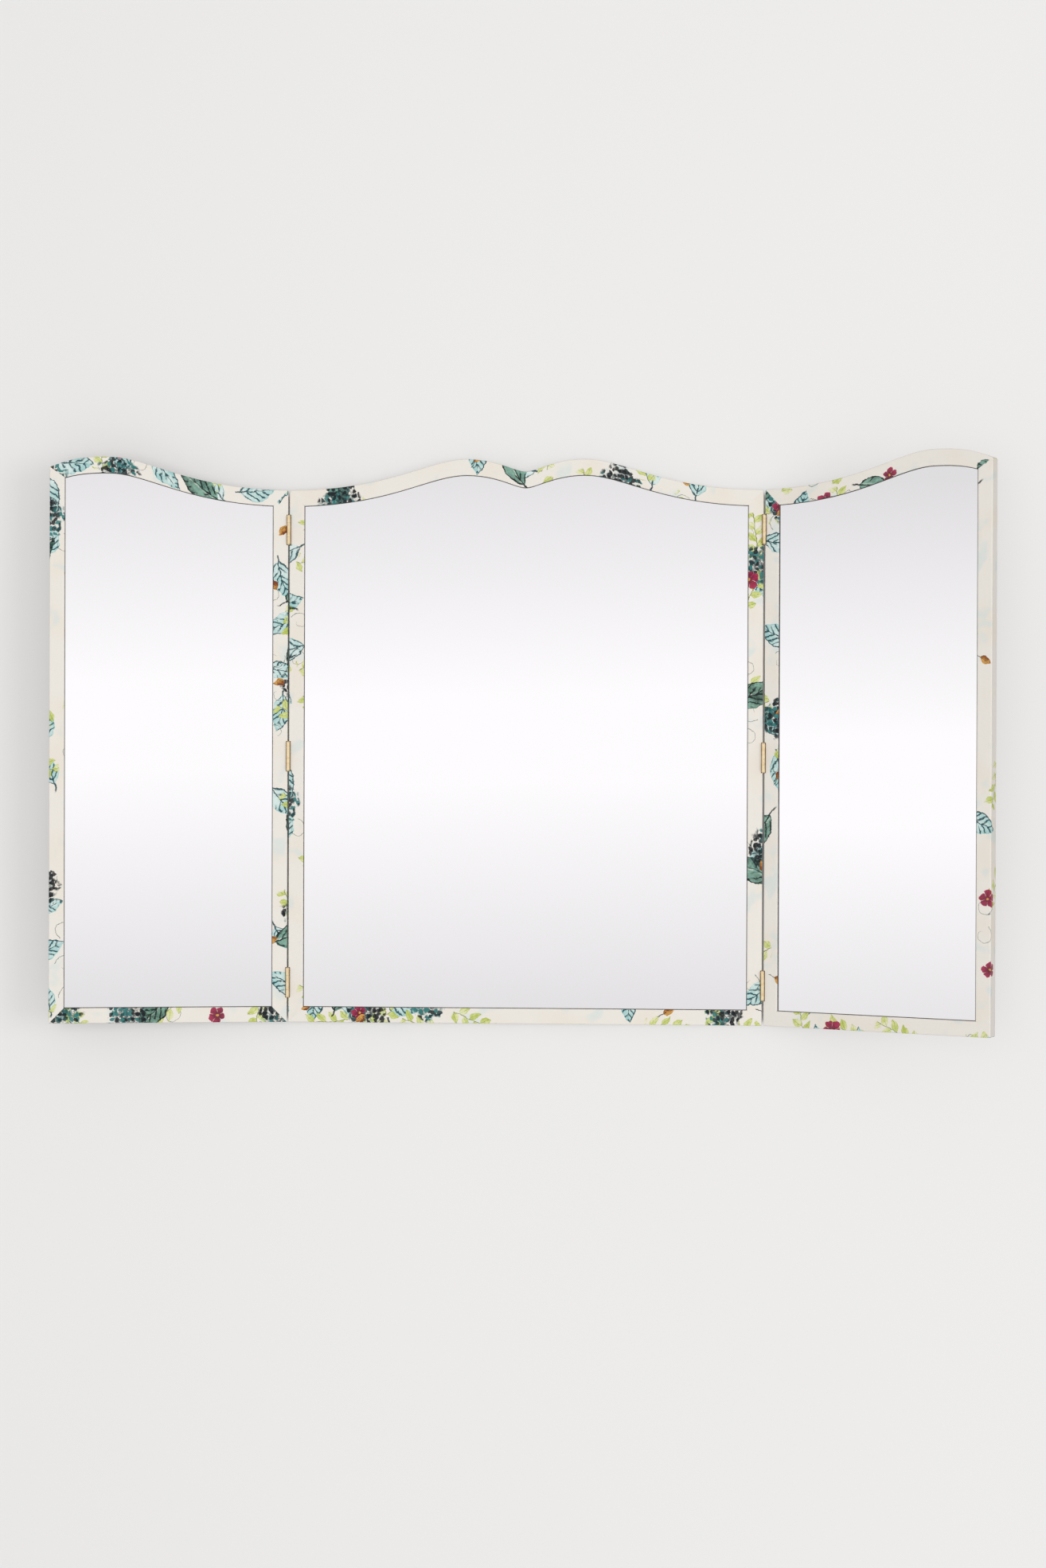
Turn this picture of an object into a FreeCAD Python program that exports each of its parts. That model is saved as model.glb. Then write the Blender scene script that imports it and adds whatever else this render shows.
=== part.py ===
import FreeCAD, Part
import math
import os

# A trifold wall mirror with a waved top: a fixed centre panel and two wings on brass butt hinges.
# X runs to the viewer's right, Y into the wall and Z up. The origin lies on the back plane of the
# centre panel, midway between the entry holes of the two keyhole plates. All lengths are millimetres.

# Panels
centre_width = 608.0
panel_gap = 1.6
meeting_gap = 2.0
side_height = 684.5
left_swing = 9.6
right_swing = 26.3

# Waved top edge, from a hinge line to the crest and on to the middle dip or the outer corner
crest_from_dip = 76.0
crest_rise = 39.5
valley_reach = 130.0
crest_reach = 50.0
shoulder_reach = 40.0
dip_drop = 16.0
dip_reach = 14.0
corner_drop = 14.0
corner_reach = 20.0
corner_slope = 0.39

# Frame members and their printed cover
stile_face = 19.0
bottom_face = 19.5
top_face = 20.4
rabbet_width = 8.0
cover_thickness = 0.5
cover_back_lip = 8.0
glue_line = 0.15
feather_leg = 13.0
feather_margin = 2.0
feather_thickness = 3.0

# Layers behind the front face
mirror_recess = 2.5
glass_thickness = 4.0
pad_thickness = 1.0
board_thickness = 9.0
plate_thickness = 1.5
gasket_width = 0.8
gasket_recess = 1.5
board_clearance = 0.5
pad_size = 40.0
pad_margin = 70.0
pad_rows = 4
centre_pad_columns = 4
wing_pad_columns = 2

# Butt hinges
hinge_from_end = 51.0
axis_forward = 1.0
barrel_radius = 2.75
barrel_clearance = 0.4
end_knuckle = 8.3
middle_knuckle = 18.2
knuckle_gap = 0.2
leaf_width = 14.0
leaf_thickness = 1.2
leaf_clearance = 0.1
pin_radius = 1.3
pin_clearance = 0.05
pin_head_rise = 1.6
hinge_screw_spacing = 22.0
hinge_screw_margin = 4.5

# Countersunk screws
hinge_screw_head = 2.4
hinge_screw_shank = 1.1
hinge_screw_length = 9.0
board_screw_head = 2.6
board_screw_shank = 1.25
board_screw_length = 14.0
plate_screw_head = 2.8
plate_screw_shank = 1.5
plate_screw_length = 8.0
screw_cone_depth = 1.3
screw_tip = 1.5
drive_depth = 0.8
drive_width = 0.5
side_screws = 3
centre_rail_screws = 4
wing_rail_screws = 2
board_screw_margin = 70.0

# Hanging hardware
hanger_height = 560.0
hanger_spacing = 406.4
plate_width = 22.0
plate_height = 50.0
plate_rise = 7.0
plate_corner = 4.0
plate_screw_spacing = 38.0
entry_radius = 5.0
slot_width = 5.0
slot_rise = 14.0
pocket_margin = 2.5
pocket_depth = 6.5
bumper_radius = 3.0
bumper_thickness = 1.5
bumper_from_end = 30.0

# Planes and lines that follow from the sizes above
depth = mirror_recess + glass_thickness + pad_thickness + board_thickness + plate_thickness
front = -depth
glass_front = front + mirror_recess
glass_back = glass_front + glass_thickness
board_front = glass_back + pad_thickness
board_back = board_front + board_thickness
floor = -hanger_height
side_top = floor + side_height
crest_top = side_top + crest_rise
valley_length = centre_width / 2 - crest_from_dip
axis_x = centre_width / 2 + panel_gap / 2
axis_y = front - axis_forward
wing_width = axis_x - meeting_gap / 2 - panel_gap / 2
leaf_back = axis_y + leaf_width
barrel_length = 2 * end_knuckle + middle_knuckle + 2 * knuckle_gap
hinge_heights = {
    "upper": side_top - hinge_from_end,
    "middle": (side_top + floor) / 2,
    "lower": floor + hinge_from_end,
}
# A cut runs this far past what it cuts, and a mitre cutter this far past its corner
overrun = 1.0
mitre_overrun = 60.0

os.makedirs("parts", exist_ok=True)


def point(x, y, z):
    return FreeCAD.Vector(x, y, z)


def box(x_low, x_high, y_low, y_high, z_low, z_high):
    size = (x_high - x_low, y_high - y_low, z_high - z_low)
    return Part.makeBox(*size, point(x_low, y_low, z_low))


def rod(radius, x, y, z_low, z_high):
    """An upright cylinder."""
    return Part.makeCylinder(radius, z_high - z_low, point(x, y, z_low))


def prism(corners, y_low, y_high):
    """An upright outline, given as x and z pairs, with a thickness along Y."""
    loop = [point(x, y_low, z) for x, z in corners]
    face = Part.Face(Part.makePolygon(loop + loop[:1]))
    return face.extrude(point(0, y_high - y_low, 0))


def raised(shape, height):
    moved = shape.copy()
    moved.translate(point(0, 0, height))
    return moved


def on_side(shape, side):
    """A piece made for the right, or its mirror image on the left of the centre line."""
    return shape.copy() if side == "right" else shape.mirror(point(0, 0, 0), point(1, 0, 0))


def on_both_sides(shapes):
    return [on_side(shape, side) for side in ("left", "right") for shape in shapes]


def save(name, pieces):
    """Write one named sub-part, as one solid or as a group of separate solids."""
    solids = [solid for piece in pieces for solid in piece.Solids]
    whole = solids[0] if len(solids) == 1 else Part.makeCompound(solids)
    whole.exportStep("parts/" + name + ".step")
    print(name, len(solids), "solids", round(whole.Volume, 1), "mm3")


def blend(values, share):
    """One coordinate of a cubic curve, a share of the way along its four control values."""
    rest = 1 - share
    weights = (rest**3, 3 * rest**2 * share, 3 * rest * share**2, share**3)
    return sum(weight * value for weight, value in zip(weights, values))


class Panel:
    """The flat outline of one panel: its side edges and the curved stretches of its top edge."""

    def __init__(self, stretches):
        self.stretches = stretches
        self.left = stretches[0][0][0]
        self.right = stretches[-1][-1][0]

    def top_at(self, x):
        """The height of the top edge at one place across the panel."""
        points = [stretch for stretch in self.stretches if stretch[0][0] <= x][-1]
        low, high = 0.0, 1.0
        for _ in range(50):
            middle = (low + high) / 2
            if blend([p[0] for p in points], middle) < x:
                low = middle
            else:
                high = middle
        return blend([p[1] for p in points], low)

    def corners(self):
        """Outer and inner end of each mitre, by corner."""
        ends = {}
        for side, edge, inner in (
            ("left", self.left, self.left + stile_face),
            ("right", self.right, self.right - stile_face),
        ):
            ends[side, "top"] = ((edge, self.top_at(edge)), (inner, self.top_at(inner) - top_face))
            ends[side, "bottom"] = ((edge, floor), (inner, floor + bottom_face))
        return ends


def valley(edge):
    """The top edge from a hinge line up to the crest on its right."""
    crest = edge + valley_length
    guides = [(edge + valley_reach, side_top), (crest - crest_reach, crest_top)]
    return [(edge, side_top)] + guides + [(crest, crest_top)]


def flipped(stretch):
    return [(-x, z) for x, z in reversed(stretch)]


def centre_panel():
    left_edge = -centre_width / 2
    crest = left_edge + valley_length
    dip = crest_top - dip_drop
    shoulder = [(crest, crest_top), (crest + shoulder_reach, crest_top), (-dip_reach, dip), (0.0, dip)]
    half = [valley(left_edge), shoulder]
    return Panel(half + [flipped(stretch) for stretch in reversed(half)])


def wing_panel():
    """The right wing, opened flat beside the centre panel."""
    edge = axis_x + panel_gap / 2
    crest = edge + valley_length
    outer = edge + wing_width
    corner = crest_top - corner_drop
    guide = (outer - corner_reach, corner + corner_slope * corner_reach)
    shoulder = [(crest, crest_top), (crest + shoulder_reach, crest_top), guide, (outer, corner)]
    return Panel([valley(edge), shoulder])


def plate(panel, side, bottom, top, y_low, y_high):
    """A slab with the panel's outline, drawn in from the sides, the bottom and the top edge."""
    edges = []
    for stretch in panel.stretches:
        curve = Part.BezierCurve()
        curve.setPoles([point(x, y_low, z - top) for x, z in stretch])
        edges.append(curve.toShape())
    start = point(panel.left, y_low, panel.stretches[0][0][1] - top)
    end = point(panel.right, y_low, panel.stretches[-1][-1][1] - top)
    low_right = point(panel.right, y_low, floor + bottom)
    low_left = point(panel.left, y_low, floor + bottom)
    for first, second in ((end, low_right), (low_right, low_left), (low_left, start)):
        edges.append(Part.makeLine(first, second))
    slab = Part.Face(Part.Wire(edges)).extrude(point(0, y_high - y_low, 0))
    if side == 0:
        return slab
    sides = (panel.left + side, panel.right - side)
    return slab.common(box(*sides, y_low - overrun, y_high + overrun, floor - overrun, crest_top + overrun))


def inset_plate(panel, inset, y_low, y_high):
    return plate(panel, inset, inset, inset, y_low, y_high)


def opening_plate(panel, outset, y_low, y_high):
    """A slab that fills the mirror opening, widened by the outset all round."""
    return plate(panel, stile_face - outset, bottom_face - outset, top_face - outset, y_low, y_high)


def loop(outer, inner):
    return outer.cut(inner)


def frame_core(panel):
    """All four bare members in one ring, with the rabbet for the board at the back."""
    skin = cover_thickness + glue_line
    lip = loop(
        inset_plate(panel, skin, front + skin, board_front),
        opening_plate(panel, skin, front, board_front + overrun),
    )
    leg = loop(
        inset_plate(panel, skin, board_front, -skin),
        opening_plate(panel, rabbet_width, board_front - overrun, overrun),
    )
    return lip.fuse(leg).removeSplitter()


def frame_cover(panel):
    """The printed skin over the front, the outer sides, the opening's rim and a lip round the back."""
    skin = cover_thickness
    face = loop(
        inset_plate(panel, 0, front, front + skin),
        opening_plate(panel, 0, front - overrun, front + skin + overrun),
    )
    rim = loop(
        opening_plate(panel, skin, front + skin, board_front),
        opening_plate(panel, 0, front, board_front + overrun),
    )
    side = loop(
        inset_plate(panel, 0, front + skin, -skin),
        inset_plate(panel, skin, front, overrun),
    )
    lip = loop(
        inset_plate(panel, 0, -skin, 0),
        inset_plate(panel, cover_back_lip, -skin - overrun, overrun),
    )
    return face.fuse([rim, side, lip]).removeSplitter()


def mitre_cutters(panel):
    """One prism round each frame member, bounded by the mitre lines at its two ends."""
    out, inside = {}, {}
    for key, (outer, inner) in panel.corners().items():
        run = math.hypot(outer[0] - inner[0], outer[1] - inner[1])
        step = [mitre_overrun * (o - i) / run for o, i in zip(outer, inner)]
        out[key] = (outer[0] + step[0], outer[1] + step[1])
        inside[key] = (inner[0] - step[0], inner[1] - step[1])
    cutters = {}
    for side in ("left", "right"):
        top, bottom = (side, "top"), (side, "bottom")
        cutters[side] = [out[top], inside[top], inside[bottom], out[bottom]]
    for end, beyond in (("top", crest_top + 2 * mitre_overrun), ("bottom", floor - 2 * mitre_overrun)):
        left, right = ("left", end), ("right", end)
        far = [(out[right][0], beyond), (out[left][0], beyond)]
        cutters[end] = [out[left], inside[left], inside[right], out[right]] + far
    return {key: prism(corners, front - overrun, overrun) for key, corners in cutters.items()}


def corner_feathers(panel):
    """A thin triangular feather across each mitre, inside the rear legs."""
    middle = (board_front - cover_thickness) / 2
    feathers = []
    for (side, end), (outer, _) in panel.corners().items():
        across = 1 if side == "left" else -1
        up = 1 if end == "bottom" else -1
        x = outer[0] + across * feather_margin
        z = outer[1] + up * feather_margin
        corners = [(x, z), (x + across * feather_leg, z), (x, z + up * feather_leg)]
        feathers.append(prism(corners, middle - feather_thickness / 2, middle + feather_thickness / 2))
    return feathers


def screw_set(head, shank, length, places, way):
    """Countersunk screws with their heads at the given places: the blanks cut the holes."""
    cone = Part.makeCone(head, shank, screw_cone_depth)
    stem = Part.makeCylinder(shank, length - screw_cone_depth - screw_tip, point(0, 0, screw_cone_depth))
    tip = Part.makeCone(shank, 0, screw_tip, point(0, 0, length - screw_tip))
    blank = cone.fuse([stem, tip]).removeSplitter()
    half = drive_width / 2
    slot = box(-shank, shank, -half, half, -drive_depth, drive_depth)
    cross_slot = box(-half, half, -shank, shank, -drive_depth, drive_depth)
    finished = blank.cut([slot, cross_slot])
    blanks, screws = [], []
    for at in places:
        placement = FreeCAD.Placement(at, FreeCAD.Rotation(point(0, 0, 1), way))
        for shape, group in ((blank, blanks), (finished, screws)):
            placed = shape.copy()
            placed.Placement = placement
            group.append(placed)
    return blanks, screws


def spread(low, high, count):
    """Evenly spaced places between two ends, both included."""
    if count == 1:
        return [(low + high) / 2]
    return [low + (high - low) * i / (count - 1) for i in range(count)]


def board_screw_places(panel, rail_count):
    """Places round the board, over the middle of the rabbet's ledge."""
    inset = rabbet_width / 2
    left = panel.left + stile_face - inset
    right = panel.right - stile_face + inset
    places = []
    for z in spread(floor + board_screw_margin, side_top - board_screw_margin, side_screws):
        places += [(left, z), (right, z)]
    for x in spread(panel.left + board_screw_margin, panel.right - board_screw_margin, rail_count):
        places += [(x, floor + bottom_face - inset), (x, panel.top_at(x) - top_face + inset)]
    return [point(x, board_back, z) for x, z in places]


def adhesive_pads(panel, columns):
    half = pad_size / 2
    pads = []
    for x in spread(panel.left + pad_margin, panel.right - pad_margin, columns):
        for z in spread(floor + pad_margin, side_top - pad_margin, pad_rows):
            pads.append(box(x - half, x + half, glass_back, board_front, z - half, z + half))
    return pads


def wall_bumpers(places_x):
    """Round bumpers on the back lip of the cover, near the top and the bottom of the stiles."""
    bumpers = []
    for x in places_x:
        for z in (floor + bumper_from_end, side_top - bumper_from_end):
            bumpers.append(Part.makeCylinder(bumper_radius, bumper_thickness, point(x, 0, z), point(0, 1, 0)))
    return bumpers


def hinge_recesses(edge, inward):
    """The leaf mortises and barrel notches of one stile on the right-hand hinge line."""
    low, high = sorted((edge + inward * leaf_thickness, edge - inward * overrun))
    half = barrel_length / 2 + leaf_clearance
    reach = barrel_length / 2 + pin_head_rise + barrel_clearance
    mortise = box(low, high, front - overrun, leaf_back + leaf_clearance, -half, half)
    notch = rod(barrel_radius + barrel_clearance, axis_x, axis_y, -reach, reach)
    return [raised(cut, z) for z in hinge_heights.values() for cut in (mortise, notch)]


def hinge_screws(edge, inward):
    """Two screws for each leaf of one stile."""
    y = leaf_back - hinge_screw_margin
    half = hinge_screw_spacing / 2
    places = [point(edge, y, z + step) for z in hinge_heights.values() for step in (-half, half)]
    return screw_set(hinge_screw_head, hinge_screw_shank, hinge_screw_length, places, point(inward, 0, 0))


def hinge_leaves(edge, inward, own_knuckles, screw_blanks):
    """Leaves and their knuckles, cleared round the other leaf's knuckles, the pin and the screws."""
    low, high = sorted((edge, edge + inward * leaf_thickness))
    half = barrel_length / 2
    body = box(low, high, axis_y, leaf_back, -half, half)
    spans = {
        "lower": (-half, end_knuckle - half),
        "middle": (-middle_knuckle / 2, middle_knuckle / 2),
        "upper": (half - end_knuckle, half),
    }
    cuts = [rod(pin_radius + pin_clearance, axis_x, axis_y, -half - overrun, half + overrun)]
    knuckles = []
    for name, (start, end) in spans.items():
        if name in own_knuckles:
            knuckles.append(rod(barrel_radius, axis_x, axis_y, start, end))
        else:
            room = barrel_radius + barrel_clearance
            cuts.append(rod(room, axis_x, axis_y, start - knuckle_gap, end + knuckle_gap))
    plain = body.fuse(knuckles).removeSplitter().cut(cuts)
    return {level: raised(plain, z).cut(screw_blanks) for level, z in hinge_heights.items()}


def hinge_pin(z):
    """A straight pin with a domed head at each end of the barrel."""
    half = barrel_length / 2
    crown = half + pin_head_rise
    # The middle of a dome's arc, on the circle through its crown and its rim
    ball = (barrel_radius**2 + pin_head_rise**2) / (2 * pin_head_rise)
    lean = math.asin(barrel_radius / ball) / 2
    bow = (ball * math.sin(lean), crown - ball * (1 - math.cos(lean)))
    upper = Part.Arc(point(0, 0, crown), point(bow[0], 0, bow[1]), point(barrel_radius, 0, half))
    lower = Part.Arc(point(barrel_radius, 0, -half), point(bow[0], 0, -bow[1]), point(0, 0, -crown))
    corners = [(barrel_radius, half), (pin_radius, half), (pin_radius, -half), (barrel_radius, -half)]
    path = [point(x, 0, height) for x, height in corners]
    edges = [upper.toShape()]
    edges += [Part.makeLine(first, second) for first, second in zip(path, path[1:])]
    edges += [lower.toShape(), Part.makeLine(point(0, 0, -crown), point(0, 0, crown))]
    pin = Part.Face(Part.Wire(edges)).revolve(point(0, 0, 0), point(0, 0, 1), 360)
    pin.translate(point(axis_x, axis_y, z))
    return pin


def keyhole_plate(x, screw_blanks):
    """A plate with a round entry that leads up into a narrow slot."""
    half = plate_width / 2
    low = plate_rise - plate_height / 2
    body = box(x - half, x + half, board_back, board_back + plate_thickness, low, low + plate_height)
    corners = [edge for edge in body.Edges if abs(edge.tangentAt(edge.FirstParameter).y) > 0.9]
    body = body.makeFillet(plate_corner, corners)
    start = board_back - overrun
    length = plate_thickness + 2 * overrun
    entry = Part.makeCylinder(entry_radius, length, point(x, start, 0), point(0, 1, 0))
    seat = Part.makeCylinder(slot_width / 2, length, point(x, start, slot_rise), point(0, 1, 0))
    slot = box(x - slot_width / 2, x + slot_width / 2, start, start + length, 0, slot_rise)
    return body.cut([entry, seat, slot] + screw_blanks)


def keyhole_pocket(x):
    """The room in the board for the head of a wall screw."""
    half = entry_radius + pocket_margin
    top = slot_rise + entry_radius + pocket_margin
    return box(x - half, x + half, board_back - pocket_depth, board_back + overrun, -half, top)


def panel_pieces(panel, pad_columns, rail_screws, recesses, hinge_blanks, member_names):
    """The pieces that every panel has, by name, each as a list of solids."""
    places = board_screw_places(panel, rail_screws)
    sizes = (board_screw_head, board_screw_shank, board_screw_length)
    blanks, screws = screw_set(*sizes, places, point(0, -1, 0))
    feathers = corner_feathers(panel)
    core = frame_core(panel)
    cover = frame_cover(panel)
    pieces = {"printed_cover": []}
    for key, cutter in mitre_cutters(panel).items():
        pieces[member_names[key]] = [core.common(cutter).cut(recesses + hinge_blanks + blanks + feathers)]
        pieces["printed_cover"].append(cover.common(cutter).cut(recesses))
    pieces["corner_feathers"] = feathers
    pieces["mirror"] = [opening_plate(panel, -gasket_width, glass_front, glass_back)]
    gasket = opening_plate(panel, 0, front + gasket_recess, board_front)
    pieces["glazing_gasket"] = [gasket.cut(opening_plate(panel, -gasket_width, front, 0))]
    pieces["adhesive_pads"] = adhesive_pads(panel, pad_columns)
    board = opening_plate(panel, rabbet_width - board_clearance, board_front, board_back)
    pieces["back_board"] = [board.cut(blanks)]
    pieces["board_screws"] = screws
    return pieces


def build_wing():
    """The right wing's pieces and moving leaves, opened flat."""
    panel = wing_panel()
    names = {"top": "top_rail", "bottom": "bottom_rail", "left": "hinge_stile", "right": "outer_stile"}
    blanks, screws = hinge_screws(panel.left, 1)
    recesses = hinge_recesses(panel.left, 1)
    pieces = panel_pieces(panel, wing_pad_columns, wing_rail_screws, recesses, blanks, names)
    pieces["wall_bumpers"] = wall_bumpers([panel.right - cover_back_lip / 2])
    pieces["hinge_screws"] = screws
    return pieces, hinge_leaves(panel.left, 1, ("middle",), blanks)


def build_centre():
    """The centre panel's pieces, and the fixed leaves of the right-hand hinge line."""
    panel = centre_panel()
    names = {"top": "top_rail", "bottom": "bottom_rail", "left": "left_stile", "right": "right_stile"}
    blanks, screws = hinge_screws(panel.right, -1)
    recesses = on_both_sides(hinge_recesses(panel.right, -1))
    columns, rail_screws = centre_pad_columns, centre_rail_screws
    pieces = panel_pieces(panel, columns, rail_screws, recesses, on_both_sides(blanks), names)
    pieces["wall_bumpers"] = on_both_sides(wall_bumpers([panel.right - cover_back_lip / 2]))
    pieces["hinge_screws"] = on_both_sides(screws)
    return pieces, hinge_leaves(panel.right, -1, ("lower", "upper"), blanks)


def add_hangers(pieces):
    """Fit the keyhole plates and their screws to the centre panel's board."""
    x = hanger_spacing / 2
    half = plate_screw_spacing / 2
    places = [point(x, board_back + plate_thickness, plate_rise + step) for step in (-half, half)]
    sizes = (plate_screw_head, plate_screw_shank, plate_screw_length)
    blanks, screws = screw_set(*sizes, places, point(0, -1, 0))
    cuts = on_both_sides(blanks + [keyhole_pocket(x)])
    pieces["back_board"] = [pieces["back_board"][0].cut(cuts)]
    pieces["keyhole_screws"] = on_both_sides(screws)
    right_plate = keyhole_plate(x, blanks)
    for side in ("left", "right"):
        pieces[side + "_keyhole_plate"] = [on_side(right_plate, side)]


def swung(shape, side):
    """A piece of the flat right wing, taken to its own side and turned to its resting angle."""
    moved = on_side(shape, side)
    if side == "left":
        moved.rotate(point(-axis_x, axis_y, 0), point(0, 0, 1), left_swing)
    else:
        moved.rotate(point(axis_x, axis_y, 0), point(0, 0, -1), right_swing)
    return moved


centre_pieces, fixed_leaves = build_centre()
add_hangers(centre_pieces)
for name, solids in centre_pieces.items():
    save("centre_" + name, solids)

pins = [hinge_pin(z) for z in hinge_heights.values()]
wing_pieces, moving_leaves = build_wing()
for side in ("left", "right"):
    save(side + "_hinge_pins", [on_side(pin, side) for pin in pins])
    for level in hinge_heights:
        save(side + "_" + level + "_fixed_leaf", [on_side(fixed_leaves[level], side)])
        save(side + "_" + level + "_moving_leaf", [swung(moving_leaves[level], side)])
    for name, solids in wing_pieces.items():
        save(side + "_wing_" + name, [swung(solid, side) for solid in solids])
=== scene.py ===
import bisect
import math
import random
from collections import namedtuple

import bmesh
import bpy
from mathutils import Matrix, Vector, noise


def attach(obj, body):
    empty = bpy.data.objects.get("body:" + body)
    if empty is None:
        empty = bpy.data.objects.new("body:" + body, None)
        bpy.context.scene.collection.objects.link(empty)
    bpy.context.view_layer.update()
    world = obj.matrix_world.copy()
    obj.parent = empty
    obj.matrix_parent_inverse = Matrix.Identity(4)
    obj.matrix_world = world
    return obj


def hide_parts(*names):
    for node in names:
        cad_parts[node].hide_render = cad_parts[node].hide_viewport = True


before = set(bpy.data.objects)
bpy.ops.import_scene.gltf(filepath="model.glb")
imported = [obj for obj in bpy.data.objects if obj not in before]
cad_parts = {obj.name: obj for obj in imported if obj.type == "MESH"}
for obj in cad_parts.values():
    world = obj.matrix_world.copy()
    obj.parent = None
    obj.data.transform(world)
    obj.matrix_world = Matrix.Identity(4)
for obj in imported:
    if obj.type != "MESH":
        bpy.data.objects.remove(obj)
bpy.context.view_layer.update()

# Sizes in millimetres, as in the solids
MM = 0.001
PER_METRE = 1000.0
CENTRE_WIDTH = 608.0
PANEL_GAP = 1.6
MEETING_GAP = 2.0
SIDE_HEIGHT = 684.5
HANGER_HEIGHT = 560.0
SWING = {"centre": 0.0, "left_wing": 9.6, "right_wing": -26.3}
CREST_FROM_DIP = 76.0
CREST_RISE = 39.5
VALLEY_REACH = 130.0
CREST_REACH = 50.0
SHOULDER_REACH = 40.0
DIP_DROP = 16.0
DIP_REACH = 14.0
CORNER_DROP = 14.0
CORNER_REACH = 20.0
CORNER_SLOPE = 0.39
STILE_FACE = 19.0
BOTTOM_FACE = 19.5
TOP_FACE = 20.4
DEPTH = 18.0
RIM_DEPTH = 7.5
BACK_LIP = 8.0
CLOTH_THICKNESS = 0.5
HINGE_FROM_END = 51.0
AXIS_FORWARD = 1.0

# Openings in the cloth at each hinge: half heights, and how far they reach on the front and on the side
MORTISE_HALF = 17.7
MORTISE_BACK = -4.9
NOTCH_HALF = 19.6
NOTCH_FRONT = 2.19
NOTCH_BACK = -15.95

# Shape of the cloth: rounded edges, creases at the mitres, unevenness, and wrinkles at the middle dip
EDGE_RADIUS = 1.0
EDGE_STEPS = 5
CORNER_RADIUS = 2.0
CORNER_STEPS = 4
MITRE_BAND = 0.7
MITRE_SINK = 0.14
END_STEPS = 4
CURVE_STEPS = 300
UNEVEN = 0.07
UNEVEN_ALONG = 21.0
UNEVEN_ACROSS = 9.0
UNEVEN_PANEL = 31.0
UNEVEN_MEMBER = 7.0
WRINKLE = 0.14
WRINKLE_REACH = 24.0
WRINKLE_FADE = 11.0
WRINKLE_CENTRE = 7.0
WRINKLE_COUNT = 13.0

# Spacing of the cloth's mesh, round the section and along a member
RIM_PITCH = 2.2
FRONT_PITCH = 2.4
SIDE_PITCH = 2.8
SIDE_BACK_PITCH = 2.0
LIP_PITCH = 1.8
STRAIGHT_PITCH = 7.0
CURVED_PITCH = 4.0
END_CLEAR = 5.0
MITRE_HALVINGS = 40

# Lines and planes that follow
FLOOR = -HANGER_HEIGHT
SIDE_TOP = FLOOR + SIDE_HEIGHT
CREST_TOP = SIDE_TOP + CREST_RISE
VALLEY_LENGTH = CENTRE_WIDTH / 2 - CREST_FROM_DIP
AXIS_X = CENTRE_WIDTH / 2 + PANEL_GAP / 2
AXIS_Y = -DEPTH - AXIS_FORWARD
WING_WIDTH = AXIS_X - MEETING_GAP / 2 - PANEL_GAP / 2
HINGE_HEIGHTS = (SIDE_TOP - HINGE_FROM_END, (SIDE_TOP + FLOOR) / 2, FLOOR + HINGE_FROM_END)


def srgb(red, green, blue):
    """A colour given as it shows on a screen, as the linear colour that Blender takes."""
    values = []
    for part in (red, green, blue):
        part = part / 255
        values.append(part / 12.92 if part <= 0.04045 else ((part + 0.055) / 1.055) ** 2.4)
    return (*values, 1.0)


class Wire:
    """One value among a material's nodes. Sums and products of wires add the nodes for them."""

    def __init__(self, graph, socket):
        self.graph = graph
        self.socket = socket

    def __add__(self, other):
        return self.graph.math("ADD", self, other)

    def __sub__(self, other):
        return self.graph.math("SUBTRACT", self, other)

    def __rsub__(self, other):
        return self.graph.math("SUBTRACT", other, self)

    def __mul__(self, other):
        return self.graph.math("MULTIPLY", self, other)

    def __truediv__(self, other):
        return self.graph.math("DIVIDE", self, other)

    def __abs__(self):
        return self.graph.math("ABSOLUTE", self)

    __radd__ = __add__
    __rmul__ = __mul__


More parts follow.
